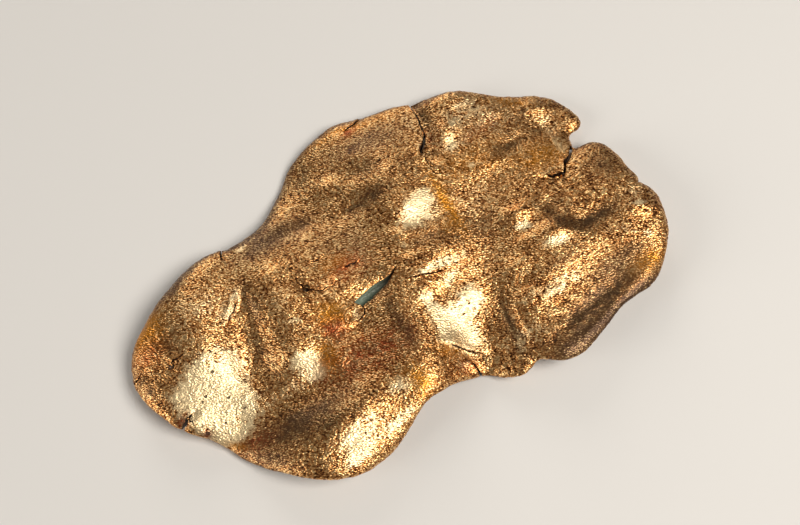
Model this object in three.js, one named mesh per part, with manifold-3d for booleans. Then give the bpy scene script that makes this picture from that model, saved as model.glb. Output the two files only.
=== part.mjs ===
// Native copper: one flat, crumpled and wave-worn sheet of natural metal.
// Millimetres, +Z up. The sheet lies on small worn feet, its long side along X.
import * as THREE from 'three';
import { mergeVertices } from 'three/addons/utils/BufferGeometryUtils.js';
import Module from 'manifold-3d';

// ---------------------------------------------------------------- driving dimensions
const sheetThickness = 2.7;        // away from the rim
const rimThickness = 1.0;          // what is left at the very edge
const rimRounding = 2.4;           // how far in from the edge the sheet thins
const footWear = 0.45;             // how much is worn flat off the lowest bumps
const gridPitch = 1.9;             // spacing of the points that carry the relief
const stepsPerOutlinePoint = 2;
const farAway = 20;                // cutters reach this far above and below

// ---------------------------------------------------------------- outline, clockwise
const westEnd = [
  [-46.2, 0.2], [-44.8, 4.1], [-41.4, 7.3], [-37.8, 10.1], [-34.4, 12.3], [-31.1, 14.1],
  [-27.9, 14.95], [-25.3, 15.0],
];
const waist = [
  [-24.2, 14.75], [-21.0, 15.4], [-19.5, 15.8], [-18.0, 16.3],
];
const northFlank = [
  [-15.7, 18.0], [-13.6, 20.1], [-11.0, 22.8], [-8.8, 25.2], [-5.6, 27.0], [-2.1, 28.4],
  [1.4, 29.35], [4.5, 29.1], [6.1, 28.7], [8.8, 28.45], [12.1, 28.3], [14.7, 27.7],
];
const northEastLobe = [
  [15.7, 27.2], [16.4, 27.1], [18.5, 27.05], [21.8, 26.8], [25.3, 25.9], [28.5, 24.1],
  [31.4, 22.4], [34.3, 21.3], [37.3, 20.2], [39.9, 17.9], [41.3, 15.0], [42.1, 12.2],
  [41.6, 10.8], [40.3, 10.5],
];
const notch = [
  [38.4, 10.1], [38.2, 8.2], [37.2, 7.1], [36.5, 6.4],
];
const eastLobe = [
  [37.7, 6.75], [39.8, 7.3], [42.0, 6.75], [43.3, 5.0], [44.1, 2.2], [44.3, -0.9],
  [44.8, -3.1], [43.8, -3.8], [44.8, -4.3], [46.0, -6.0], [46.1, -8.0], [45.6, -10.4],
  [44.6, -13.6], [42.2, -16.8], [39.7, -19.5], [36.7, -21.3],
];
const southEdge = [
  [33.8, -21.7], [31.0, -22.2], [27.4, -24.0], [23.8, -25.7], [20.5, -26.9], [17.3, -26.4],
  [14.9, -24.7], [13.9, -24.3], [12.9, -25.2], [10.7, -25.5], [8.3, -24.4], [6.1, -22.6],
];
const bay = [
  [4.8, -22.6], [2.3, -22.3], [0.1, -22.5], [-2.6, -23.0], [-5.5, -23.6], [-8.2, -25.3],
  [-11.6, -27.4],
];
const southWestBulge = [
  [-15.1, -28.8], [-18.6, -29.35], [-22.2, -28.9], [-25.9, -27.2], [-29.5, -24.5],
  [-32.9, -21.2], [-35.0, -18.6], [-36.6, -16.0], [-39.0, -13.5], [-42.0, -11.1],
  [-43.5, -8.6], [-44.8, -6.2], [-46.0, -3.1],
];
const outlinePoints = [
  ...westEnd, ...waist, ...northFlank, ...northEastLobe, ...notch, ...eastLobe, ...southEdge,
  ...bay, ...southWestBulge,
];

// ---------------------------------------------------------------- relief of the sheet
// Each swell is one long bump or hollow: middle, half length, half width, turn, rise.
const swells = [
  // west: a dome, the long slope below it and the hollow where it ends
  { x: -34.7, y: 5, length: 8.5, width: 8, turn: 75, rise: 2.6 },
  { x: -35.2, y: -2, length: 5.5, width: 3, turn: 0, rise: 0.9 },
  { x: -29.7, y: 11.5, length: 6, width: 3, turn: 50, rise: 0.7 },
  { x: -46.7, y: 1, length: 5, width: 4, turn: 70, rise: -1.2 },
  { x: -34.2, y: -17.5, length: 8, width: 7, turn: 90, rise: -3.4 },
  { x: -27, y: -3.5, length: 9, width: 3.2, turn: 88, rise: -1.7 },
  { x: -19.2, y: 2, length: 9, width: 5, turn: 90, rise: 1.6 },
  { x: -21.2, y: -13.5, length: 7, width: 4, turn: 0, rise: -1.6 },
  // south-west bulge and its falling rim
  { x: -16.7, y: -20.3, length: 10, width: 3.5, turn: 17, rise: 1.3 },
  { x: -13.7, y: -29.5, length: 7, width: 5, turn: 20, rise: -2.0 },
  // the ridge that ends at the bay, and the deep hollow east of it
  { x: -2.7, y: -16, length: 12, width: 4.5, turn: 82, rise: 1.5 },
  { x: 6.8, y: -21.5, length: 9, width: 6.5, turn: 85, rise: -3.6 },
  { x: 13.3, y: -10, length: 9, width: 4, turn: 60, rise: -1.0 },
  { x: 5.8, y: 0, length: 7, width: 4.5, turn: 30, rise: 1.8 },
  // north: a long middle ridge between two hollows
  { x: 5.3, y: 13.5, length: 9, width: 6, turn: 80, rise: 2.1 },
  { x: 8.3, y: 4, length: 5, width: 3, turn: 0, rise: -1.2 },
  { x: 19.3, y: 24, length: 8, width: 4.5, turn: 60, rise: 0.7 },
  { x: -11.7, y: 24, length: 11, width: 7, turn: 105, rise: -1.8 },
  // east: a broad ridge with hollows on both sides
  { x: 17.3, y: 1, length: 7, width: 4, turn: 70, rise: -0.9 },
  { x: 26.3, y: -6, length: 6, width: 4, turn: -20, rise: 0.9 },
  { x: 41.3, y: -6, length: 8, width: 5, turn: 80, rise: 0.7 },
  { x: 26.3, y: -18.7, length: 9, width: 3.5, turn: 12, rise: -0.9 },
  { x: 36.3, y: 16, length: 9, width: 6.5, turn: 120, rise: -1.8 },
];
const leanToNorth = 0.05;          // the north side lies a little lower

// ---------------------------------------------------------------- tears, slit and pits
// A tear is a crack through the sheet: its middle line from the mouth in, and its widths.
const tears = [
  {
    line: [[15.7, 27.6], [15.55, 25.6], [15.65, 24.3], [15.4, 21.8], [15.2, 20.1],
      [14.5, 18.8], [13.2, 17.5], [12.9, 16.6], [13.25, 15.9]],
    mouth: 0.6,
    tip: 0.15,
  },
  {
    line: [[37.3, 7.2], [36.1, 5.6], [35.3, 5.4], [34.65, 5.25], [34.45, 4.3], [33.9, 3.7],
      [32.9, 3.55], [31.9, 3.85], [31.1, 4.2]],
    mouth: 0.7,
    tip: 0.15,
  },
  { line: [[5.25, -23.8], [5.05, -22.0], [4.8, -20.7], [4.5, -20.1]], mouth: 0.7, tip: 0.2 },
  { line: [[-42.1, -11.3], [-41, -10.1], [-40.2, -9.5], [-39.4, -9.0]], mouth: 0.9, tip: 0.3 },
  { line: [[-24.6, 15.9], [-25.05, 14.4], [-25.45, 13.3]], mouth: 0.6, tip: 0.2 },
  { line: [[45.7, -3.3], [44.7, -3.7], [43.9, -4.0]], mouth: 0.5, tip: 0.2 },
];
const slitOutline = [
  [-9, -3.3], [-8.2, -3.0], [-5.7, -2.0], [-4.3, -1.6], [-1.5, -1.4], [0.1, -0.6],
  [-1.9, -2.5], [-4, -3.3], [-5.7, -4.1], [-7.8, -4.6],
];
const slitDepth = 1.2;
const pits = [
  { x: -14.9, y: 2.1, radius: 0.55, depth: 1.0 },
  { x: -38.3, y: -13.1, radius: 0.5, depth: 0.5 },
  { x: -39.4, y: -1.5, radius: 0.6, depth: 0.8 },
];

// ---------------------------------------------------------------- the sheet's surfaces
function outlineCurve() {
  const corners = outlinePoints.map(([x, y]) => new THREE.Vector3(x, y, 0));
  const curve = new THREE.CatmullRomCurve3(corners, true, 'centripetal');
  const spaced = curve.getPoints(corners.length * stepsPerOutlinePoint);
  spaced.pop();                    // the last point repeats the first
  return spaced.map((point) => new THREE.Vector2(point.x, point.y));
}
const outline = outlineCurve();

// How far a point lies inside the outline; past the edge the distance is negative.
function distanceInside(x, y) {
  let nearest = Infinity;
  let inside = false;
  outline.forEach((start, i) => {
    const end = outline[(i + 1) % outline.length];
    const alongX = end.x - start.x;
    const alongY = end.y - start.y;
    const reach = ((x - start.x) * alongX + (y - start.y) * alongY) / (alongX ** 2 + alongY ** 2);
    const share = THREE.MathUtils.clamp(reach, 0, 1);
    const gap = Math.hypot(x - start.x - share * alongX, y - start.y - share * alongY);
    nearest = Math.min(nearest, gap);
    const crosses = (start.y > y) !== (end.y > y);
    if (crosses && x < start.x + (alongX * (y - start.y)) / alongY) {
      inside = !inside;
    }
  });
  return inside ? nearest : -nearest;
}

function middleHeight(x, y) {
  let height = -leanToNorth * y;
  for (const swell of swells) {
    const turn = THREE.MathUtils.degToRad(swell.turn);
    const dx = x - swell.x;
    const dy = y - swell.y;
    const along = (dx * Math.cos(turn) + dy * Math.sin(turn)) / swell.length;
    const across = (dy * Math.cos(turn) - dx * Math.sin(turn)) / swell.width;
    height += swell.rise * Math.exp(-along * along - across * across);
  }
  return height;
}

// Full inside, rounded down to the rim, and thinner still past it, so that the sheet
// is already thin where the outline cuts between two grid points.
function thicknessAt(x, y) {
  const inward = Math.min(distanceInside(x, y) / rimRounding, 1);
  if (inward < 0) {
    return rimThickness * Math.max(1 + 2 * inward, 0.15);
  }
  const roundness = Math.sqrt(1 - (1 - inward) ** 2);
  return rimThickness + (sheetThickness - rimThickness) * roundness;
}

// ---------------------------------------------------------------- solids and cuts
const wasm = await Module();
wasm.setup();

function solidFrom(geometry) {
  const bare = geometry.clone();
  bare.deleteAttribute('normal');
  bare.deleteAttribute('uv');
  const merged = mergeVertices(bare, 1e-5);
  const vertProperties = Float32Array.from(merged.attributes.position.array);
  const triVerts = Uint32Array.from(merged.index.array);
  return new wasm.Manifold(new wasm.Mesh({ numProp: 3, vertProperties, triVerts }));
}

function geometryFrom(solid) {
  const mesh = solid.getMesh();
  const geometry = new THREE.BufferGeometry();
  geometry.setAttribute('position', new THREE.BufferAttribute(mesh.vertProperties, 3));
  geometry.setIndex(new THREE.BufferAttribute(mesh.triVerts, 1));
  return geometry;
}

// An upright block with the given plan, from one height up to another.
function uprightBlock(plan, bottom, top) {
  const settings = { depth: top - bottom, bevelEnabled: false, steps: 1 };
  const geometry = new THREE.ExtrudeGeometry(new THREE.Shape(plan), settings);
  return solidFrom(geometry.translate(0, 0, bottom));
}

function wavySlab() {
  const length = 96;
  const width = 62;
  const columns = Math.round(length / gridPitch);
  const rows = Math.round(width / gridPitch);
  const geometry = new THREE.BoxGeometry(length, width, 1, columns, rows, 1);
  const points = geometry.attributes.position;
  for (let i = 0; i < points.count; i += 1) {
    const x = points.getX(i);
    const y = points.getY(i);
    const side = Math.sign(points.getZ(i));
    points.setZ(i, middleHeight(x, y) + side * thicknessAt(x, y) / 2);
  }
  return solidFrom(geometry);
}

function tearCutter({ line, mouth, tip }) {
  const middle = line.map(([x, y]) => new THREE.Vector2(x, y));
  const left = [];
  const right = [];
  middle.forEach((point, i) => {
    const before = middle[Math.max(i - 1, 0)];
    const after = middle[Math.min(i + 1, middle.length - 1)];
    const heading = after.clone().sub(before).normalize();
    const sideways = new THREE.Vector2(-heading.y, heading.x);
    const half = THREE.MathUtils.lerp(mouth, tip, i / (middle.length - 1)) / 2;
    left.push(point.clone().addScaledVector(sideways, half));
    right.unshift(point.clone().addScaledVector(sideways, -half));
  });
  return uprightBlock([...left, ...right], -farAway, farAway);
}

function slitCutter() {
  const plan = slitOutline.map(([x, y]) => new THREE.Vector2(x, y));
  const middle = plan.reduce((sum, point) => sum.add(point), new THREE.Vector2());
  middle.divideScalar(plan.length);
  const floor = middleHeight(middle.x, middle.y) + sheetThickness / 2 - slitDepth;
  return uprightBlock(plan, floor, farAway);
}

function pitCutter({ x, y, radius, depth }) {
  const top = middleHeight(x, y) + thicknessAt(x, y) / 2;
  const geometry = new THREE.SphereGeometry(1, 12, 8);
  geometry.scale(radius, radius, depth);
  return solidFrom(geometry.translate(x, y, top));
}

// Everything below the height at which the lowest bumps have worn flat.
function wearCutter(sheet) {
  const wornTo = sheet.boundingBox().min[2] + footWear;
  const geometry = new THREE.BoxGeometry(100, 70, farAway);
  return solidFrom(geometry.translate(0, 0, wornTo - farAway / 2));
}

// ---------------------------------------------------------------- the copper sheet
function copperSheet() {
  let sheet = wavySlab().intersect(uprightBlock(outline, -farAway, farAway));
  sheet = sheet.subtract(wearCutter(sheet));
  for (const tear of tears) {
    sheet = sheet.subtract(tearCutter(tear));
  }
  sheet = sheet.subtract(slitCutter());
  for (const pit of pits) {
    sheet = sheet.subtract(pitCutter(pit));
  }
  const geometry = geometryFrom(sheet);
  geometry.computeBoundingBox();
  const middle = geometry.boundingBox.getCenter(new THREE.Vector3());
  return geometry.translate(-middle.x, -middle.y, -geometry.boundingBox.min.z);
}

const nativeCopper = new THREE.MeshStandardMaterial({
  name: 'native_copper',
  color: 0xb07848,
  roughness: 0.4,
  metalness: 1,
});

const group = new THREE.Group();
const sheet = new THREE.Mesh(copperSheet(), nativeCopper);
sheet.name = 'copper_sheet';
group.add(sheet);

export default group;
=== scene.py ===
"""Looks of a native copper specimen: one wave-worn sheet of natural metal.

The sheet keeps the shape of its solid. Here it gets its worn skin: ripples, grains, lips
beside the tears, fine cracks, the slit with its verdigris, and the colours of the tarnish.
Some colour is painted light: shade on the rim that faces away from the key lamp and at the
slit's narrow end, and highlight on the rubbed patches.
"""

import math

import bmesh
import bpy
import numpy as np
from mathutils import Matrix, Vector, noise
from mathutils.bvhtree import BVHTree


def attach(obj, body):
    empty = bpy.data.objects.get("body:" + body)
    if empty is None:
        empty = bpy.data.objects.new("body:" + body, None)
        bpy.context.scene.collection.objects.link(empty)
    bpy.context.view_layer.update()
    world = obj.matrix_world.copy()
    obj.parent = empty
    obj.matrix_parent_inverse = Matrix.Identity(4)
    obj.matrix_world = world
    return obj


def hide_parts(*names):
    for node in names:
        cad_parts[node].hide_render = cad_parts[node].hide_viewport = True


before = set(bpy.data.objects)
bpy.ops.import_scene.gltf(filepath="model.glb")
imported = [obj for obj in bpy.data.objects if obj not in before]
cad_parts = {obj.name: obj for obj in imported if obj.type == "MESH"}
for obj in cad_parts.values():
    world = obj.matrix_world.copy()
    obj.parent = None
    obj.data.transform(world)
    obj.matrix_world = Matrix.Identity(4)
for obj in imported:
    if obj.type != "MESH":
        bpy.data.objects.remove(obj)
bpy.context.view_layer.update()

MM = 0.001                      # sizes below are in millimetres unless they say otherwise

# ------------------------------------------------------------------ sizes of the worn skin
WELD_DISTANCE = 0.001           # vertices of the solid's triangles closer than this are one
REMESH_SIZE = 0.53              # cells of the first even mesh; the top is split once more
FACET_SMOOTHING = 22            # rounds that take the solid's flat facets out
RIM_SMOOTHING = 3               # rounds that round the rim
SMOOTHING_SHARE = 0.5           # how far each round moves a vertex towards its neighbours
TOP_FACING = 0.15               # upward part of the normal from which a face is split
TOP_FADE = (0.05, 0.55)         # upward part over which the top's relief sets in
SHADED_RIM_FACING = (-0.34, 0.94, 0)        # the way the rim faces where it gets painted shade: away from the key lamp
SHADED_RIM_FADE = (0.25, 0.7)        # how squarely the rim faces that way where its painted shade sets in
COMBED = math.radians(-20)      # the way water has combed the skin

# The skin's unevenness, from coarse to fine: how wide each is, how high, and its seed.
BROAD = (3.4, 0.08, 3.1)
LUMPS = (1.7, 0.03, 7.7)
RIPPLES = (1.05, 0.18, 5.2)
PEBBLES = (0.65, 0.07, 1.3)
CRUMBS = (0.55, 0.035, 2.4)
RIPPLE_STRETCH = 2.0            # ripples are this many times as long as they are wide
PEBBLE_PACKING = 1.4            # the higher, the wider the gaps between pebbles
CALMED = 0.6                    # share of the grain that a drab film smooths away
UNDERSIDE_GRAIN = 0.45          # share of the grain that the underside has

# Swells and dents a few millimetres wide: x, y, half length, half width, turn, rise.
SWELLS = [
    # north
    (23.3, 25.0, 4.0, 2.2, -10, 0.4),
    (18.3, 19.0, 2.2, 1.7, 30, 0.65),
    (27.3, 19.5, 2.2, 1.4, 0, 0.35),
    (35.3, 17.5, 2.5, 1.6, -20, 0.55),
    (36.3, 12.6, 2.5, 1.5, -20, -0.55),
    (1.8, 21.0, 3.0, 2.0, 0, 0.35),
    (2.8, 17.8, 3.0, 2.0, 0, -0.5),
    (-4.7, 18.0, 3.0, 1.8, 0, 0.55),
    (-12.7, 13.0, 4.5, 1.8, 5, -0.4),
    (-1.2, 12.5, 4.0, 1.6, 12, -0.65),
    (28.8, 12.0, 3.5, 1.8, 5, -0.35),
    (22.3, 10.5, 4.0, 1.6, 5, 0.4),
    # west
    (-26.9, 4.8, 3.0, 0.8, 52, 0.75),
    (-24.9, 3.0, 4.0, 1.2, 95, -0.35),
    (-20.9, -7.5, 2.8, 2.0, -15, 0.75),
    (-19.2, 6.5, 3.0, 1.6, 10, 0.35),
    (-25.0, -11.0, 6.0, 1.5, 3, 0.35),
    (-28.5, -6.8, 2.2, 2.2, 0, -0.7),
    (-15.2, -11.5, 2.0, 2.5, 0, 0.55),
    # middle
    (-10.2, -0.5, 3.0, 1.8, 30, 0.5),
    (-10.2, -4.0, 1.8, 1.4, 0, 0.35),
    (-9.7, -8.0, 2.4, 1.6, 0, -0.5),
    (3.1, 4.2, 2.2, 1.4, 0, 0.55),
    (3.3, 0.6, 2.4, 1.2, 0, -0.4),
    (5.3, -2.6, 3.5, 1.2, 10, 0.3),
    (2.8, -6.5, 2.0, 1.3, 20, 0.4),
    (8.3, -10.0, 3.5, 1.6, 15, 0.4),
    (5.3, -7.5, 3.0, 1.2, 15, -0.12),
    (3.3, -16.0, 2.0, 1.6, 0, 0.4),
    (6.0, 8.6, 3.6, 1.8, 25, 0.35),
    (13.3, -18.0, 5.0, 1.3, 92, -0.55),
    (17.3, -9.0, 2.5, 1.5, 10, 0.5),
    (17.3, -12.3, 2.5, 1.2, 10, -0.35),
    # east
    (22.6, -0.3, 2.6, 1.4, 0, 0.9),
    (23.1, -3.8, 3.0, 1.4, 0, -0.55),
    (27.3, -6.0, 2.5, 1.4, -30, 0.55),
    (34.3, -6.5, 5.0, 2.0, -8, -0.45),
    (28.8, -2.0, 1.8, 2.5, 0, -0.5),
    (18.3, -13.8, 2.6, 0.8, 18, 0.15),
    (18.8, -15.4, 2.4, 0.7, 12, 0.12),
    (25.3, -11.8, 5.0, 1.8, 5, 0.4),
    (40.8, -8.0, 3.5, 1.4, -20, 0.4),
    (36.3, -19.0, 3.0, 1.2, 20, 0.35),
    (25.5, -20.8, 8.0, 1.6, 16, -0.4),
    # south
    (-15.7, -26.5, 5.0, 2.4, 16, 0.5),
]

# Tears run right through the sheet. Each has its middle line from the mouth in, the width
# at both ends, and the lip on either side: its rise and how far it reaches.
TEARS = [
    {"line": [(15.7, 27.9), (15.55, 25.6), (15.65, 24.3), (15.4, 21.8), (15.2, 20.1),
              (14.5, 18.8), (13.2, 17.5), (12.9, 16.6), (13.25, 15.9)],
     "widths": (0.4, 0.24), "left": (-0.9, 2.2), "right": (0.25, 1.2)},
    {"line": [(37.7, 7.6), (36.1, 5.6), (35.3, 5.2), (34.6, 4.95), (34.3, 4.0),
              (33.7, 3.25), (32.7, 3.05), (31.7, 3.25), (30.9, 3.65), (30.3, 4.1)],
     "widths": (0.42, 0.18), "left": (-0.35, 1.2), "right": (0.35, 1.2)},
    {"line": [(5.3, -24.5), (5.05, -22.0), (4.8, -20.7), (4.5, -20.1)],
     "widths": (0.42, 0.2), "left": (0.3, 1.2), "right": (-0.2, 1.5)},
    {"line": [(-42.5, -12.0), (-41.3, -10.8), (-40.5, -10.1), (-39.8, -9.8), (-39.2, -9.4)],
     "widths": (0.4, 0.2), "left": (0.0, 1.0), "right": (-0.3, 0.9)},
]

# How tears and cracks are cut.
THROUGH = 12.0                  # a tear's cutter reaches this far down
CUT_STEPS = 4                   # each stretch of a cut's line is split into this many
WANDER = (1.7, 0.18)            # the line wanders: bends in a mm, and how far it strays
RAGGED = (2.1, 0.35)            # the width varies: changes in a mm, and by what share
TAPER = (0.25, 0.15)            # this last share of a cut narrows to this share of its width
CUTTER_MOUTH = 0.75             # half width of a cutter above the skin, for a cut 1 wide
CUTTER_FLOOR = 0.2              # and its half width at the floor
CUTTER_RISE = 1.0               # how far a cutter stands above the skin

# Fine cracks are shallow. Each has its line, its width, its depth and its two lips.
CRACKS = [
    {"line": [(-24.5, 16.3), (-25.05, 14.4), (-25.45, 13.3), (-25.4, 12.6)],
     "widths": (0.28, 0.2), "depth": 1.4, "left": (-0.3, 1.5), "right": (0.2, 1.0)},
    {"line": [(46.1, -3.1), (44.7, -3.7), (43.9, -4.0)],
     "widths": (0.35, 0.2), "depth": 1.0, "left": (0.1, 0.8), "right": (0.1, 0.8)},
    {"line": [(-40.3, -9.9), (-39.8, -10.6), (-39.9, -11.4)],
     "widths": (0.35, 0.2), "depth": 0.5, "left": (0.1, 0.8), "right": (0.0, 0.8)},
    {"line": [(13.25, 16.1), (13.25, 14.6), (13.25, 13.0), (13.55, 12.1), (14.0, 11.8)],
     "widths": (0.22, 0.16), "depth": 0.6, "left": (0, 1), "right": (0, 1)},
    {"line": [(-7.8, -4.5), (-7.55, -5.2), (-8.0, -6.0), (-8.7, -6.5), (-9.6, -6.6)],
     "widths": (0.3, 0.2), "depth": 0.5, "left": (-0.2, 1.2), "right": (0.2, 1.0)},
    {"line": [(0.0, -1.1), (1.6, -2.0), (2.8, -2.0), (3.8, -2.0), (4.3, -2.5), (5.1, -2.6),
              (5.9, -2.2), (6.3, -1.4)],
     "widths": (0.24, 0.16), "depth": 0.6, "left": (-0.25, 1.2), "right": (0.2, 0.8)},
    {"line": [(1.7, -4.0), (3.3, -4.2), (4.3, -4.5), (5.8, -4.7), (6.6, -4.6)],
     "widths": (0.18, 0.14), "depth": 0.4, "left": (0.35, 0.9), "right": (-0.1, 0.8)},
    {"line": [(-15.4, 5.0), (-15.85, 3.8), (-15.5, 2.8), (-14.9, 2.1), (-14.0, 1.3),
              (-12.7, 0.5), (-11.2, 0.8), (-9.9, 1.3)],
     "widths": (0.16, 0.14), "depth": 0.35, "left": (0.3, 0.7), "right": (-0.15, 0.8)},
    {"line": [(-26.3, 4.4), (-27.1, 3.2), (-27.9, 2.7), (-28.5, 1.9), (-29.1, 1.2)],
     "widths": (0.2, 0.16), "depth": 0.4, "left": (-0.2, 1.0), "right": (0.1, 0.8)},
    {"line": [(-12.2, 6.2), (-10.9, 6.15), (-9.9, 6.6)],
     "widths": (0.22, 0.18), "depth": 0.4, "left": (0.1, 0.7), "right": (-0.1, 0.7)},
    {"line": [(-39.4, -1.3), (-38.9, -0.8), (-37.7, -0.7), (-36.7, -0.75)],
     "widths": (0.25, 0.2), "depth": 0.4, "left": (0.1, 0.7), "right": (-0.1, 0.7)},
    {"line": [(3.2, 27.2), (4.1, 27.1), (5.1, 27.5), (6.2, 28.4)],
     "widths": (0.3, 0.3), "depth": 0.7, "left": (0.15, 0.9), "right": (-0.2, 0.7)},
    {"line": [(43.2, -1.0), (43.9, -0.6), (44.9, -0.2)],
     "widths": (0.2, 0.25), "depth": 0.4, "left": (0.05, 0.6), "right": (0.05, 0.6)},
    {"line": [(2.7, -16.6), (4.1, -17.6), (4.9, -18.3), (6.2, -19.1)],
     "widths": (0.16, 0.18), "depth": 0.4, "left": (0.3, 1.2), "right": (-0.3, 1.2)},
    {"line": [(-7.5, 3.1), (-6.0, 2.9), (-4.9, 3.2)],
     "widths": (0.3, 0.2), "depth": 0.4, "left": (0.1, 0.8), "right": (-0.15, 0.8)},
    {"line": [(-46.3, -0.9), (-45.1, -0.35), (-44.3, 0.05)],
     "widths": (0.25, 0.2), "depth": 0.4, "left": (0.1, 0.8), "right": (-0.2, 1.2)},
]

# The slit is a blind gap between two folds of the sheet.
SLIT = [
    (-8.7, -3.5), (-8.0, -3.05), (-6.9, -2.65), (-5.7, -2.25), (-4.3, -1.85), (-2.9, -1.75),
    (-1.5, -1.65), (-0.5, -1.2), (0.15, -0.9), (-0.8, -1.75), (-1.9, -2.5), (-2.9, -2.95),
    (-4.0, -3.25), (-5.0, -3.65), (-5.7, -4.1), (-6.7, -4.25), (-7.7, -4.6),
]
SLIT_DEPTH = 1.35
SLIT_CUTTER_HEIGHT = 4
VERDIGRIS_TO_SHADE_FADE = (-4.6, -1.2)   # from one x to the other the slit's floor turns from verdigris to painted shade

# How the walls of the cuts are marked. Unmarked skin is 0. A pit's mark is a little below a
# crack's, so that its wall comes out a little lighter.
IN_CRACK = 1.0
IN_PIT = 0.92
IN_SLIT = 0.5

# Pits: x, y, radius, depth.
PITS = [
    (-14.9, 2.0, 0.75, 1.2), (-38.3, -13.1, 0.45, 0.4), (-39.4, -1.5, 0.6, 0.4),
    (-36.3, -7.9, 0.3, 0.3), (-37.1, -8.5, 0.25, 0.3), (-33.1, -9.4, 0.3, 0.3),
    (-33.9, -4.9, 0.35, 0.3), (-35.1, -12.7, 0.25, 0.3), (-31.5, -11.8, 0.25, 0.3),
]
PIT_WIDTH = 0.8                 # a pit's width across, as a share of its length

# ------------------------------------------------------------------ finish: what lies where
# Films and rubbing are uneven inside their patches: an even share, blotches and specks.
EVEN_SHARE = 0.9
BLOTCHES = (2.2, 0.5, 12.0)
SPECKS = (0.8, 0.6, 4.0)
FILM_FADE = (0, 1 / 3)          # upward part of the normal over which the patches set in

# Each patch: x, y, half length, half width, turn, strength.
DRAB = [                        # smooth hollows with a grey-brown film
    (-24.5, -17.6, 8.0, 2.2, 4, 1.0), (-12.2, 13.4, 4.0, 1.6, 0, 0.8),
    (0.8, 12.4, 4.5, 1.4, 8, 0.8), (3.3, 17.5, 3.2, 2.0, 0, 0.6),
    (13.0, -17.5, 4.8, 1.1, 85, 0.9), (27.5, 11.8, 4.0, 1.3, 3, 0.8),
    (28.8, -4.0, 2.2, 3.0, 0, 0.7), (33.8, -6.8, 5.0, 1.5, 8, 0.9),
    (30.3, -19.3, 5.0, 1.6, 20, 0.7), (22.3, -23.0, 5.0, 1.4, 5, 0.6),
    (40.3, 1.8, 1.6, 3.2, 0, 0.6), (-23.8, 3.0, 4.0, 1.0, 95, 0.8),
    (-24.9, -7.0, 5.0, 1.6, 95, 0.5), (-3.4, -11.0, 6.0, 1.3, 92, 0.8),
    (33.3, 17.3, 1.5, 0.9, 30, 0.8), (7.2, 1.6, 3.2, 0.8, 5, 0.7),
    (-34.6, 10.0, 2.0, 1.0, 80, 0.6), (16.6, 0.5, 3.4, 2.4, 60, 0.5),
    (-44.2, -3.2, 2.4, 1.1, 105, 0.9), (16.6, 24.0, 3.0, 0.8, 95, 0.6),
    (-38.2, 3.0, 1.6, 2.5, 0, 0.5), (-20.5, -20.5, 6.0, 1.6, 5, 0.5),
    (36.5, -14.5, 2.6, 1.0, 0, 0.7), (-8.0, 21.5, 3.0, 1.0, 45, 0.5),
    (29.5, -22.6, 9.0, 1.0, 16, 1.0), (26.0, -20.2, 8.0, 2.2, 12, 0.9),
]
BROWN = [                       # thick dark brown film in patches
    (29.5, -23.1, 11.0, 1.5, 16, 1.6), (5.0, 23.0, 8.0, 3.0, 0, 0.85),
    (-23.5, -17.6, 5.0, 1.4, 0, 0.3), (20.0, -25.0, 4.0, 1.6, 5, 1.0),
    (32.0, -15.5, 4.5, 1.8, 5, 0.7), (27.0, -18.5, 4.0, 1.0, 12, 0.4),
    (38.5, 1.8, 2.5, 3.0, 0, 0.3), (-18.0, 13.0, 7.0, 2.8, 15, 1.1),
    (-9.0, 8.0, 5.0, 4.0, 0, 0.4), (-4.0, 6.0, 2.5, 3.5, 0, 0.5),
    (-31.0, -21.0, 5.5, 1.8, -42, 0.8), (26.0, -11.8, 3.5, 1.4, 5, 0.5),
    (35.5, -17.8, 4.0, 2.5, 0, 0.5),
]
GOLD = [                        # thin golden-orange film
    (-41.3, 5.8, 3.5, 3.0, 40, 1.0), (12.8, 6.5, 5.0, 0.9, 93, 1.5),
    (32.0, 8.0, 4.5, 2.6, 0, 0.7), (-12.8, -4.0, 2.0, 1.8, -30, 1.6),
    (-4.9, -20.0, 1.6, 2.4, 0, 1.0), (2.3, -17.5, 2.5, 1.2, -25, 0.7),
    (-16.2, -10.6, 1.4, 2.2, 0, 1.5), (38.3, -17.5, 3.0, 1.5, 10, 0.8),
    (11.6, 2.0, 1.6, 1.2, 0, 0.6), (-8.5, 4.0, 2.6, 1.5, 0, 0.6),
    (-34.9, -16.6, 1.8, 0.5, -35, 0.9), (4.5, 27.0, 9.0, 1.2, 0, 0.4),
    (31.5, 20.5, 4.0, 1.2, -25, 0.6), (20.0, 12.0, 6.0, 3.0, 0, 0.3),
]
RED = [                         # red-brown oxide
    (-9.4, -12.5, 6.0, 3.2, 0, 0.9), (-42.2, 2.3, 3.0, 2.0, 20, 0.7),
    (-7.0, 3.0, 3.4, 2.2, 10, 0.8), (-13.4, -6.2, 1.8, 1.6, 0, 1.4),
    (3.6, 26.4, 1.6, 0.7, 20, 0.9), (3.6, -20.5, 1.6, 1.2, 0, 0.7),
    (-16.2, -12.5, 3.0, 2.5, 0, 0.5), (-40.9, -9.9, 1.3, 0.8, 35, 1.0),
    (-38.3, -13.1, 0.7, 0.7, 0, 1.0), (-31.7, -17.5, 3.0, 1.5, 0, 0.6),
    (24.5, 17.0, 3.5, 1.2, 10, 0.5), (16.0, 19.0, 1.2, 2.0, 0, 0.6),
]
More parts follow.
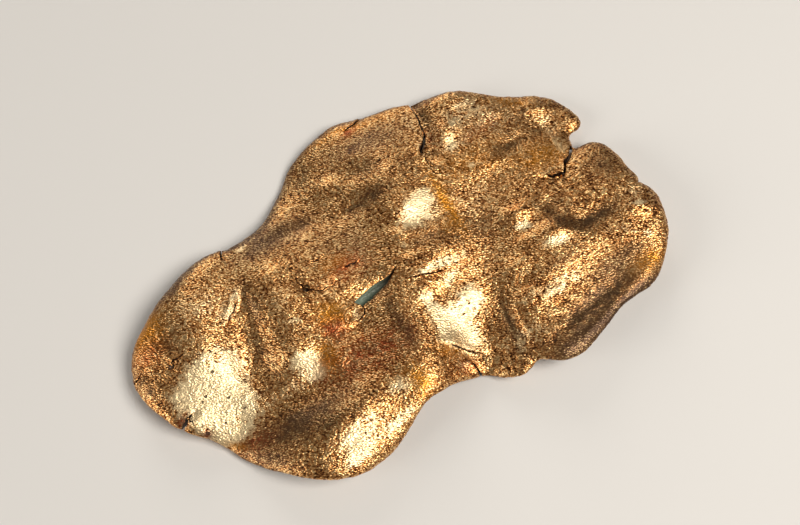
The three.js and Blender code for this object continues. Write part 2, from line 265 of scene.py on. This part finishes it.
RUBBED_AND_HIGHLIT = [                      # metal rubbed clean by stones, its pale cream partly painted highlight
    (-35.2, -6.3, 4.9, 3.6, 10, 2.0), (-34.2, -11.5, 4.4, 3.6, 0, 2.0),
    (-34.8, -15.0, 2.2, 1.2, 0, 1.2), (-30.8, -4.2, 2.2, 2.4, 0, 0.8),
    (-16.8, -23.8, 5.0, 2.2, 15, 1.0), (-18.6, -27.4, 3.2, 1.2, 8, 0.9),
    (-10.0, -24.5, 3.6, 0.8, 18, 1.2), (-8.5, -19.3, 2.6, 1.2, 0, 0.7),
    (4.9, -15.4, 3.2, 3.2, 30, 2.0), (8.4, -10.9, 2.8, 2.0, 30, 1.8),
    (3.4, -12.0, 1.8, 2.2, 0, 1.2), (6.6, -3.6, 4.4, 0.9, 4, 1.3),
    (2.2, -8.3, 1.4, 1.8, 0, 1.2), (7.8, -6.0, 2.4, 1.0, 25, 0.9),
    (7.2, 6.6, 3.4, 2.4, 25, 1.8), (9.6, 9.0, 1.8, 1.4, 30, 1.2),
    (-20.0, -9.3, 2.8, 1.6, -20, 1.4), (-18.4, -11.4, 1.6, 1.8, 0, 0.8),
    (-26.8, 4.4, 2.2, 0.7, 50, 1.1),
    (22.6, -3.0, 1.7, 0.9, -15, 1.3), (25.8, -8.0, 2.4, 0.9, -12, 1.3),
    (18.3, 16.3, 1.8, 1.6, 0, 0.7), (20.6, 20.6, 1.8, 2.2, 0, 0.4),
    (36.3, 14.2, 2.0, 2.6, 10, 0.35), (35.6, 8.5, 1.2, 2.2, 10, 0.6),
    (23.5, -15.0, 4.5, 1.5, 5, 0.9), (17.3, -14.8, 2.4, 0.9, 18, 0.3),
    (36.5, -10.2, 4.0, 0.7, -10, 0.4), (40.5, -13.0, 4.0, 0.7, -30, 0.5),
    (2.8, 1.8, 1.6, 0.8, 0, 0.5), (-11.8, -1.2, 2.4, 0.7, -10, 0.5),
    (-18.8, -2.6, 2.4, 0.7, -5, 0.5), (-9.2, -5.6, 1.2, 1.4, 30, 0.6),
    (13.4, 17.4, 0.7, 2.4, -15, 0.6), (13.6, 23.4, 1.0, 3.0, 0, 0.4),
    (-2.5, 9.0, 1.4, 1.0, 0, 0.5), (20.0, 11.2, 0.8, 0.6, 0, 0.9),
    (41.8, -7.8, 2.0, 0.6, -20, 0.8), (-21.9, 13.4, 1.2, 0.5, 20, 1.0),
    (-31.0, 5.5, 6.0, 4.5, 0, 0.45), (27.0, 18.0, 9.0, 5.0, 0, 0.45),
    (36.3, 10.0, 2.0, 3.0, 0, 0.3), (1.5, -20.0, 3.0, 1.5, 0, 0.3),
    (-22.5, -12.2, 6.0, 1.6, 3, 0.5), (-39.8, -8.5, 1.8, 3.6, 25, 0.5),
    (-19.0, 2.0, 4.0, 3.5, 0, 0.35), (-36.5, 2.0, 2.5, 3.0, 0, 0.15),
    (26.0, 22.5, 4.5, 2.5, 0, 0.4), (14.0, -20.5, 4.5, 2.5, 0, 0.6),
    (42.5, -5.0, 2.0, 2.5, 0, 0.5), (-6.0, -20.5, 2.5, 1.5, 0, 0.5),
    (17.5, 5.5, 6.0, 3.0, 20, 0.45),
]
RIPPLED = [                     # surface rippled in rows instead of pebbled
    (34.8, 0.0, 6.0, 4.5, -10, 1.0), (24.3, -19.5, 8.0, 3.5, 15, 0.9),
    (18.5, -14.0, 5.0, 3.0, 15, 0.8),
    (-23.7, -15.5, 9.0, 2.5, 5, 0.7), (42.3, -10.0, 4.0, 5.0, 0, 0.6),
    (9.8, -20.5, 4.0, 4.0, 0, 0.6), (6.3, -8.0, 5.0, 6.0, 0, 0.5),
    (-8.7, -12.0, 6.0, 3.0, -30, 0.6),
]


# ------------------------------------------------------------------ shape helpers
def fade(values, start, end):
    """0 up to the start, 1 from the end, and straight in between."""
    return np.clip((values - start) / (end - start), 0, 1)


def patch(x, y, rows):
    """Sum of long round patches at points x, y (arrays)."""
    total = np.zeros_like(x)
    for middle_x, middle_y, length, width, turn, amount in rows:
        angle = math.radians(turn)
        dx = x - middle_x
        dy = y - middle_y
        along = (dx * math.cos(angle) + dy * math.sin(angle)) / length
        across = (dy * math.cos(angle) - dx * math.sin(angle)) / width
        total += amount * np.exp(-along ** 2 - across ** 2)
    return total


def side_distance(x, y, line):
    """Distance of points from a line, counted positive on its left."""
    best = np.full_like(x, np.inf)
    signed = np.zeros_like(x)
    for (x0, y0), (x1, y1) in zip(line, line[1:]):
        dx = x1 - x0
        dy = y1 - y0
        share = np.clip(((x - x0) * dx + (y - y0) * dy) / (dx * dx + dy * dy), 0, 1)
        away_x = x - x0 - share * dx
        away_y = y - y0 - share * dy
        away = np.hypot(away_x, away_y)
        left = np.sign(dx * away_y - dy * away_x)
        nearer = away < best
        best = np.where(nearer, away, best)
        signed = np.where(nearer, left * away, signed)
    return signed


def lips(x, y, rows):
    """Height of the raised or sunken lips beside tears and cracks."""
    total = np.zeros_like(x)
    for row in rows:
        away = side_distance(x, y, row["line"])
        for side, (rise, reach) in ((1, row["left"]), (-1, row["right"])):
            near = np.exp(-(away / reach) ** 2)
            total += np.where(away * side > 0, rise * near, 0)
    return total


def rough_noise(points, size, height, seed):
    """Soft noise with lumps of the given size and height, up and down."""
    shift = Vector((seed, -seed, 2 * seed))
    return height * np.array([noise.noise(Vector(p) / size + shift) for p in points])


def pebbles(points, size, height, seed):
    """Rounded grains of the given size and height, standing up from 0."""
    shift = Vector((seed, 2 * seed, -seed))
    nearest = [noise.voronoi(Vector(p) / size + shift)[0][0] for p in points]
    return height * (1 - np.minimum(np.array(nearest) * PEBBLE_PACKING, 1))


# ------------------------------------------------------------------ mesh helpers
def new_object(name, bm):
    """Puts a bmesh into the scene as a new object and frees the bmesh."""
    mesh = bpy.data.meshes.new(name)
    bm.to_mesh(mesh)
    bm.free()
    thing = bpy.data.objects.new(name, mesh)
    bpy.context.scene.collection.objects.link(thing)
    return thing


def apply_modifiers(thing):
    """Replaces the object's mesh by what its modifiers make of it."""
    graph = bpy.context.evaluated_depsgraph_get()
    made = bpy.data.meshes.new_from_object(thing.evaluated_get(graph))
    old = thing.data
    thing.modifiers.clear()
    thing.data = made
    bpy.data.meshes.remove(old)


def vertex_places(mesh):
    """Every vertex's place, one row each."""
    places = np.empty(len(mesh.vertices) * 3)
    mesh.vertices.foreach_get("co", places)
    return places.reshape(-1, 3)


def vertex_normals(mesh):
    """Every vertex's normal, one row each."""
    normals = np.empty(len(mesh.vertices) * 3)
    mesh.vertex_normals.foreach_get("vector", normals)
    return normals.reshape(-1, 3)


def note(thing, name, values):
    """Keeps one number for each vertex, for the material to read."""
    layer = thing.data.attributes.new(name, "FLOAT", "POINT")
    layer.data.foreach_set("value", values)


# ------------------------------------------------------------------ the sheet, step by step
def even_sheet():
    """The solid's shape as an even mesh with its flat facets smoothed away."""
    bm = bmesh.new()
    bm.from_mesh(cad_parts["copper_sheet"].data)
    bmesh.ops.remove_doubles(bm, verts=bm.verts, dist=WELD_DISTANCE * MM)
    sheet = new_object("worn_copper_sheet", bm)
    remesh = sheet.modifiers.new("even", "REMESH")
    remesh.mode = "VOXEL"
    remesh.voxel_size = REMESH_SIZE * MM
    apply_modifiers(sheet)
    bm = bmesh.new()
    bm.from_mesh(sheet.data)
    for _ in range(FACET_SMOOTHING):
        bmesh.ops.smooth_vert(bm, verts=bm.verts, factor=SMOOTHING_SHARE, use_axis_z=True)
    for _ in range(RIM_SMOOTHING):
        bmesh.ops.smooth_vert(bm, verts=bm.verts, factor=SMOOTHING_SHARE, use_axis_x=True,
                              use_axis_y=True, use_axis_z=True)
    bm.normal_update()
    top_edges = {e for f in bm.faces if f.normal.z > TOP_FACING for e in f.edges}
    bmesh.ops.subdivide_edges(bm, edges=list(top_edges), cuts=1, use_grid_fill=True)
    bm.to_mesh(sheet.data)
    bm.free()
    return sheet


def wear_skin(sheet):
    """Moves the skin: swells, lips, ripples and grains above, a weaker grain below."""
    places = vertex_places(sheet.data) / MM
    normals = vertex_normals(sheet.data)
    x, y, z = places.T
    upward = fade(normals[:, 2], *TOP_FADE)
    rippled = np.clip(patch(x, y, RIPPLED), 0, 1)
    calm = 1 - CALMED * np.clip(patch(x, y, DRAB), 0, 1)

    along = x * math.cos(COMBED) + y * math.sin(COMBED)
    across = y * math.cos(COMBED) - x * math.sin(COMBED)
    rows = np.stack([along, across * RIPPLE_STRETCH, z], 1)
    pebbled = (1 - rippled) * pebbles(places, *PEBBLES) + rough_noise(places, *CRUMBS)
    grain = rough_noise(places, *LUMPS) + pebbled + rippled * rough_noise(rows, *RIPPLES)
    grain *= calm

    relief = patch(x, y, SWELLS) + lips(x, y, TEARS) + lips(x, y, CRACKS)
    relief += rough_noise(places, *BROAD)
    grain_share = UNDERSIDE_GRAIN + (1 - UNDERSIDE_GRAIN) * upward
    places[:, 2] += upward * relief
    places += normals * (grain * grain_share)[:, None]
    places[:, 2] = np.maximum(places[:, 2], 0)      # nothing sinks into what the sheet lies on
    sheet.data.vertices.foreach_set("co", (places * MM).ravel())
    sheet.data.update()

    # A crest is 1 two standard deviations above the grain's mean height, and 0 two below.
    note(sheet, "crest", fade((grain - grain.mean()) / grain.std(), -2, 2))
    # Painted shade: the rim that faces away from the key lamp gets the brown film's colour because
    # of the way it faces. This is added on top of the real brown patches.
    north = fade(normals @ np.array(SHADED_RIM_FACING), *SHADED_RIM_FADE)
    note(sheet, "brown_film_and_shade", np.clip(north + patch(x, y, BROWN), 0, 1))


def wavering(point, per_mm, layer):
    """Soft noise along a cut; each layer wavers on its own."""
    return noise.noise(Vector((point.x, point.y, layer)) * per_mm)


def cut_stations(line, widths):
    """A cut's points set closer and made a little crooked, each with its width."""
    bends, strays = WANDER
    changes, varies = RAGGED
    taper_length, tip_share = TAPER
    made = []
    total = (len(line) - 1) * CUT_STEPS
    for i in range(total + 1):
        stretch = min(i // CUT_STEPS, len(line) - 2)
        share = (i - stretch * CUT_STEPS) / CUT_STEPS
        point = Vector(line[stretch]).lerp(Vector(line[stretch + 1]), share)
        crooked = Vector((wavering(point, bends, 4), wavering(point, bends, 9)))
        width = widths[0] + (widths[1] - widths[0]) * i / total
        ragged = 1 + varies * wavering(point, changes, 15)
        tapered = min(1, (total - i) / total / taper_length + tip_share)
        made.append((point + strays * crooked, width * ragged * tapered))
    return made


def surface_height(tree, point):
    """Height of the sheet's top at a point, or None beside the sheet."""
    hit = tree.ray_cast(Vector((point.x * MM, point.y * MM, 1)), Vector((0, 0, -1)))[0]
    return hit.z / MM if hit else None


def add_crack(bm, tree, row, depth):
    """A wedge along a crack's line, from above the skin down to the crack's depth."""
    stations = cut_stations(row["line"], row["widths"])
    heights = [surface_height(tree, point) for point, _ in stations]
    known = [h for h in heights if h is not None]
    rings = []
    for i, (point, width) in enumerate(stations):
        before = stations[max(i - 1, 0)][0]
        after = stations[min(i + 1, len(stations) - 1)][0]
        heading = (after - before).normalized()
        sideways = Vector((-heading.y, heading.x, 0))
        height = heights[i] if heights[i] is not None else known[0]
        mouth = Vector((point.x, point.y, height + CUTTER_RISE))
        floor = Vector((point.x, point.y, height - depth))
        corners = [
            mouth + sideways * width * CUTTER_MOUTH,
            mouth - sideways * width * CUTTER_MOUTH,
            floor - sideways * width * CUTTER_FLOOR,
            floor + sideways * width * CUTTER_FLOOR,
        ]
        verts = [bm.verts.new(c * MM) for c in corners]
        rings.append([bm.edges.new((verts[k], verts[(k + 1) % 4])) for k in range(4)])
    for ring, following in zip(rings, rings[1:]):
        bmesh.ops.bridge_loops(bm, edges=ring + following)
    bmesh.ops.holes_fill(bm, edges=rings[0] + rings[-1], sides=4)


def add_slit(bm, tree):
    """A block with the slit's plan, sunk to the slit's depth."""
    verts = []
    for x, y in SLIT:
        height = surface_height(tree, Vector((x, y)))
        verts.append(bm.verts.new(Vector((x, y, height - SLIT_DEPTH)) * MM))
    floor = bm.faces.new(verts)
    made = bmesh.ops.extrude_face_region(bm, geom=[floor])["geom"]
    raised = [v for v in made if isinstance(v, bmesh.types.BMVert)]
    bmesh.ops.translate(bm, verts=raised, vec=Vector((0, 0, SLIT_CUTTER_HEIGHT)) * MM)


def add_pits(bm, tree):
    """Round bodies sunk halfway into the skin."""
    for x, y, radius, depth in PITS:
        height = surface_height(tree, Vector((x, y)))
        made = bmesh.ops.create_icosphere(bm, subdivisions=2, radius=1)["verts"]
        bmesh.ops.scale(bm, verts=made, vec=Vector((radius, radius * PIT_WIDTH, depth)) * MM)
        bmesh.ops.translate(bm, verts=made, vec=Vector((x, y, height)) * MM)


def cut_away(sheet, cutter):
    """Cuts the cutter's closed shells out of the sheet."""
    boolean = sheet.modifiers.new("cut", "BOOLEAN")
    boolean.operation = "DIFFERENCE"
    boolean.solver = "MANIFOLD"
    boolean.object = cutter
    apply_modifiers(sheet)
    bpy.data.objects.remove(cutter)


def mark_new_faces(bm, layer, value):
    """Marks the faces that have no mark yet."""
    for face in bm.faces:
        if face[layer] == 0:
            face[layer] = value


def cut_tears(sheet):
    """Cuts the tears, cracks, pits and slit with crisp edges and marked walls."""
    source = bmesh.new()
    source.from_mesh(sheet.data)
    tree = BVHTree.FromBMesh(source)
    source.free()
    bm = bmesh.new()
    cleft = bm.faces.layers.float.new("cleft")
    for row in TEARS:
        add_crack(bm, tree, row, THROUGH)
    for row in CRACKS:
        add_crack(bm, tree, row, row["depth"])
    mark_new_faces(bm, cleft, IN_CRACK)
    add_pits(bm, tree)
    mark_new_faces(bm, cleft, IN_PIT)
    add_slit(bm, tree)
    mark_new_faces(bm, cleft, IN_SLIT)
    bmesh.ops.recalc_face_normals(bm, faces=bm.faces)
    cut_away(sheet, new_object("cutters", bm))


def sharpen_cuts(sheet):
    """Shades the skin smoothly, but leaves the edge of every cut sharp."""
    bm = bmesh.new()
    bm.from_mesh(sheet.data)
    cleft = bm.faces.layers.float["cleft"]
    for face in bm.faces:
        face.smooth = True
    for edge in bm.edges:
        edge.smooth = len({face[cleft] for face in edge.link_faces}) == 1
    bm.to_mesh(sheet.data)
    bm.free()


def mark_finish(sheet):
    """Writes where each film lies, where the metal is rubbed clean with painted highlight, and
    where the slit's verdigris gives way to painted shade.
    """
    places = vertex_places(sheet.data) / MM
    x, y = places[:, 0], places[:, 1]
    uneven = EVEN_SHARE + rough_noise(places, *BLOTCHES) + rough_noise(places, *SPECKS)
    top = fade(vertex_normals(sheet.data)[:, 2], *FILM_FADE)
    for name, rows in (("drab", DRAB), ("gold", GOLD), ("red", RED), ("rubbed_and_highlit", RUBBED_AND_HIGHLIT)):
        note(sheet, name, np.clip(patch(x, y, rows) * uneven, 0, 1) * top)
    # Painted shade: the slit's floor darkens towards its narrow end, where shade falls.
    note(sheet, "verdigris_to_shade", 1 - fade(x, *VERDIGRIS_TO_SHADE_FADE))


# ------------------------------------------------------------------ materials
# The copper's real grain is about 0.2 mm. Its grit and grains are drawn a little coarser than
# that, so that they show.
GRIT = 0.25
GRAINS = 0.29
GRAIN_BUMP = 0.08               # how far the grit and grains stand out
DASHES = (1.45, 0.8, 1.0)       # water has combed them longer one way and narrower across it
CLOUDS = 4.0                    # width of the broad changes in the tarnish

# The bare skin's colours by tone: black-brown oxide in the gaps, then old and fresh metal.
SKIN_TONES = ((0.32, "#321B0C"), (0.42, "#905C34"), (0.53, "#D69A5A"), (0.66, "#FFDA9E"))
DRAB_FILM = "#6A523C"
# This dark brown is also the painted shade on the rim that faces away from the key lamp.
BROWN_FILM_AND_SHADE = "#4A311B"
GOLD_FILM = "#D08A2C"
RED_FILM = "#94482A"
# Pale creams of rubbed metal, partly painted highlight where the key lamp's gleam falls.
WEAKLY_RUBBED_AND_HIGHLIT = "#F0C587"
CLEAN_RUBBED_AND_HIGHLIT = "#FAE2B4"
CRACK_WALL = "#2A1A10"
# Painted shade for the narrow end of the slit.
SLIT_SHADE = "#3A2A1C"
VERDIGRIS = "#768576"


def linear(colour):
    """An sRGB hex colour as linear red, green, blue and alpha."""
    parts = [int(colour[i:i + 2], 16) / 255 for i in (1, 3, 5)]
    straight = [p / 12.92 if p <= 0.04045 else ((p + 0.055) / 1.055) ** 2.4 for p in parts]
    return (*straight, 1.0)


def add_node(tree, kind, settings=None, **inputs):
    """Adds a node; inputs are values or sockets, by name or as i0, i1 ... by number.

    A colour mix takes its share at input 0 and its two colours at inputs 6 and 7.
    """
    node = tree.nodes.new(kind)
    for name, value in (settings or {}).items():
        setattr(node, name, value)
    for name, value in inputs.items():
        key = int(name[1:]) if name[0] == "i" and name[1:].isdigit() else name.replace("_", " ")
        if isinstance(value, bpy.types.NodeSocket):
            tree.links.new(value, node.inputs[key])
        else:
            node.inputs[key].default_value = value
    return node


def native_copper():
    """Native copper worn by water and sand: a skin of small grains, bright on their crests.

    Dark oxide lies between the grains. Thin films of it turn whole patches golden, red,
    grey-brown or dark brown, and metal that stones have rubbed clean is nearly cream, partly
    as painted highlight. The rim that faces away from the key lamp and the narrow end of the
    slit are painted in shade.
    """
    material = bpy.data.materials.new("water_worn_native_copper")
    material.use_nodes = True
    tree = material.node_tree
    tree.nodes.clear()
    place = add_node(tree, "ShaderNodeTexCoord").outputs["Object"]
    marks = {name: add_node(tree, "ShaderNodeAttribute", {"attribute_name": name}).outputs["Fac"]
             for name in ("crest", "drab", "brown_film_and_shade", "gold", "red", "rubbed_and_highlit", "verdigris_to_shade", "cleft")}

    combed = add_node(tree, "ShaderNodeMapping", {"vector_type": "TEXTURE"}, Vector=place,
                      Rotation=(0, 0, COMBED), Scale=DASHES).outputs["Vector"]
    grit = add_node(tree, "ShaderNodeTexNoise", Vector=combed, Scale=1 / (GRIT * MM),
                    Detail=1.0).outputs["Fac"]
    grains = add_node(tree, "ShaderNodeTexVoronoi", Vector=combed, Scale=1 / (GRAINS * MM))
    clouds = add_node(tree, "ShaderNodeTexNoise", Vector=place, Scale=1 / (CLOUDS * MM),
                      Detail=4.0).outputs["Fac"]

    # The tone of each spot runs from about 0.3 in the gaps between the grains to 0.7 on the
    # best of their tops. Each grain is dark at its edge, and a little unlike the next.
    tone = add_node(tree, "ShaderNodeMath", {"operation": "MULTIPLY_ADD"},
                    i0=grains.outputs["Distance"], i1=-0.42, i2=0.27)
    for part, share in ((grit, 0.5), (grains.outputs["Color"], 0.1),
                        (marks["crest"], 0.16), (clouds, 0.16)):
        tone = add_node(tree, "ShaderNodeMath", {"operation": "MULTIPLY_ADD"},
                        i0=part, i1=share, i2=tone.outputs[0])
    tone = tone.outputs[0]
    metal = add_node(tree, "ShaderNodeValToRGB", Fac=tone)
    stops = metal.color_ramp.elements
    stops[0].position = SKIN_TONES[0][0]
    stops[-1].position = SKIN_TONES[-1][0]
    for position, _ in SKIN_TONES[1:-1]:
        stops.new(position)
    for stop, (_, shade) in zip(stops, SKIN_TONES):
        stop.color = linear(shade)

    # Films lie thickest between the grains.
    cover = add_node(tree, "ShaderNodeMapRange", Value=tone, From_Min=0.35, From_Max=0.65,
                     To_Min=1.0, To_Max=0.75).outputs[0]
    films = {name: add_node(tree, "ShaderNodeMath", {"operation": "MULTIPLY"}, i0=marks[name],
                            i1=cover).outputs[0]
             for name in ("drab", "brown_film_and_shade", "gold", "red")}

    # Weak rubbing bares only the tops of the grains and strong rubbing the gaps too, so the
    # edge of a rubbed patch is broken up. Their pale cream is partly painted highlight. Golden
    # and red films stain even bare metal.
    reached = add_node(tree, "ShaderNodeMath", {"operation": "MULTIPLY_ADD"},
                       i0=tone, i1=2.2, i2=marks["rubbed_and_highlit"]).outputs[0]
    bare_and_highlit = add_node(tree, "ShaderNodeMapRange", Value=reached, From_Min=1.4,
                    From_Max=1.85).outputs[0]
    polish_and_highlight = add_node(tree, "ShaderNodeMix", {"data_type": "RGBA"}, i0=marks["rubbed_and_highlit"],
                      i6=linear(WEAKLY_RUBBED_AND_HIGHLIT), i7=linear(CLEAN_RUBBED_AND_HIGHLIT)).outputs[2]

    # Old cracks are black-brown inside. The slit is grey-green verdigris, with painted shade
    # towards its narrow end.
    in_crack = add_node(tree, "ShaderNodeMapRange", Value=marks["cleft"], From_Min=0.6,
                        From_Max=IN_CRACK).outputs[0]
    in_slit = add_node(tree, "ShaderNodeMath", {"operation": "COMPARE"},
                       i0=marks["cleft"], i1=IN_SLIT, i2=0.1).outputs[0]
    slit_verdigris_and_shade = add_node(tree, "ShaderNodeMix", {"data_type": "RGBA"}, i0=marks["verdigris_to_shade"],
                          i6=linear(SLIT_SHADE), i7=linear(VERDIGRIS)).outputs[2]

    colour = metal.outputs["Color"]
    for share, coat in ((films["drab"], linear(DRAB_FILM)), (films["brown_film_and_shade"], linear(BROWN_FILM_AND_SHADE)),
                        (bare_and_highlit, polish_and_highlight), (films["gold"], linear(GOLD_FILM)),
                        (films["red"], linear(RED_FILM)), (in_slit, slit_verdigris_and_shade),
                        (in_crack, linear(CRACK_WALL))):
        colour = add_node(tree, "ShaderNodeMix", {"data_type": "RGBA"},
                          i0=share, i6=colour, i7=coat).outputs[2]

    # The walls of cuts are crusted, not metallic, and the thick brown film is only half so,
    # as is the painted shade on the rim that faces away from the key lamp.
    unmarked = add_node(tree, "ShaderNodeMath", {"operation": "LESS_THAN"},
                        i0=marks["cleft"], i1=IN_SLIT / 2).outputs[0]
    metallic = add_node(tree, "ShaderNodeMath", {"operation": "MULTIPLY_ADD", "use_clamp": True},
                        i0=marks["brown_film_and_shade"], i1=-0.5, i2=unmarked).outputs[0]

    # Grit and grains stand out least under the drab film. Their tops are worn smoother than
    # the gaps, but fine scratches keep the rubbed patches from shining like a mirror.
    height = add_node(tree, "ShaderNodeMath", {"operation": "MULTIPLY_ADD"},
                      i0=grains.outputs["Distance"], i1=-0.8, i2=grit).outputs[0]
    strength = add_node(tree, "ShaderNodeMath", {"operation": "MULTIPLY_ADD"},
                        i0=marks["drab"], i1=-0.45, i2=1.0).outputs[0]
    bump = add_node(tree, "ShaderNodeBump", Strength=strength, Distance=GRAIN_BUMP * MM,
                    Height=height).outputs[0]
    worn = add_node(tree, "ShaderNodeMapRange", Value=tone, From_Min=0.3, From_Max=0.6,
                    To_Min=0.44, To_Max=0.3).outputs[0]
    roughness = add_node(tree, "ShaderNodeMath", {"operation": "MULTIPLY_ADD"},
                         i0=marks["rubbed_and_highlit"], i1=0.1, i2=worn).outputs[0]
    shader = add_node(tree, "ShaderNodeBsdfPrincipled", Base_Color=colour, Metallic=metallic,
                      Roughness=roughness, Normal=bump)
    add_node(tree, "ShaderNodeOutputMaterial", Surface=shader.outputs[0])
    return material


def pale_board():
    """Matt painted board: an even pale ground that takes soft shadows and has no gloss."""
    material = bpy.data.materials.new("matt_pale_board")
    material.use_nodes = True
    shader = material.node_tree.nodes["Principled BSDF"]
    shader.inputs["Base Color"].default_value = linear("#DCDDDE")
    shader.inputs["Roughness"].default_value = 0.8
    return material


# ------------------------------------------------------------------ stage
FLOOR_REACH = 1.5               # metres from the middle to each side
# Lamps: name, azimuth and elevation in degrees, distance and size in metres, power in watts.
LAMPS = (
    ("key", -45, 55, 0.6, 0.34, 3.45),
    ("fill_west", 178, 22, 0.9, 0.5, 3.6),
    ("fill_north", 80, 22, 0.9, 0.5, 2.4),
)
LAMP_COLOUR = "#FFF6EA"
ROOM_COLOUR = "#C8C4BE"
ROOM_LIGHT = 0.12
CAMERA_TARGET = (1.3, 0.33, 3.5)
CAMERA_AZIMUTH = -115
CAMERA_ELEVATION = 68
CAMERA_DISTANCE = 185.2
LENS = 50
SENSOR = 36


def aim(thing, target):
    """Turns a lamp or camera to look at the target."""
    direction = target - thing.location
    thing.rotation_euler = direction.to_track_quat("-Z", "Y").to_euler()


def around(azimuth, elevation, distance):
    """A point seen from the origin at that azimuth and elevation, in degrees."""
    turn = math.radians(azimuth)
    rise = math.radians(elevation)
    return Vector((math.cos(turn) * math.cos(rise), math.sin(turn) * math.cos(rise),
                   math.sin(rise))) * distance


def studio_floor():
    bm = bmesh.new()
    bmesh.ops.create_grid(bm, x_segments=1, y_segments=1, size=FLOOR_REACH)
    floor = new_object("floor", bm)
    floor.data.materials.append(pale_board())


def studio_lights():
    """A soft key lamp, two wide low fills and a dim even room."""
    for name, azimuth, elevation, distance, size, power in LAMPS:
        light = bpy.data.lights.new(name, "AREA")
        light.shape = "DISK"
        light.size = size
        light.energy = power
        light.color = linear(LAMP_COLOUR)[:3]
        lamp = bpy.data.objects.new(name, light)
        lamp.location = around(azimuth, elevation, distance)
        aim(lamp, Vector((0, 0, 0)))
        bpy.context.scene.collection.objects.link(lamp)
    world = bpy.data.worlds.new("studio")
    world.use_nodes = True
    background = world.node_tree.nodes["Background"]
    background.inputs["Color"].default_value = linear(ROOM_COLOUR)
    background.inputs["Strength"].default_value = ROOM_LIGHT
    bpy.context.scene.world = world
    bpy.context.scene.view_settings.view_transform = "Standard"


def camera():
    lens = bpy.data.cameras.new("camera")
    lens.lens = LENS
    lens.sensor_width = SENSOR
    eye = bpy.data.objects.new("camera", lens)
    target = Vector(CAMERA_TARGET) * MM
    eye.location = target + around(CAMERA_AZIMUTH, CAMERA_ELEVATION, CAMERA_DISTANCE * MM)
    aim(eye, target)
    bpy.context.scene.collection.objects.link(eye)
    bpy.context.scene.camera = eye


# ------------------------------------------------------------------ put together
def copper_sheet():
    """The whole specimen in its worn skin, in the place of its solid."""
    sheet = even_sheet()
    wear_skin(sheet)
    cut_tears(sheet)
    mark_finish(sheet)
    sharpen_cuts(sheet)
    sheet.data.materials.clear()
    sheet.data.materials.append(native_copper())
    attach(sheet, "root")
    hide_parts("copper_sheet")


copper_sheet()
studio_floor()
studio_lights()
camera()
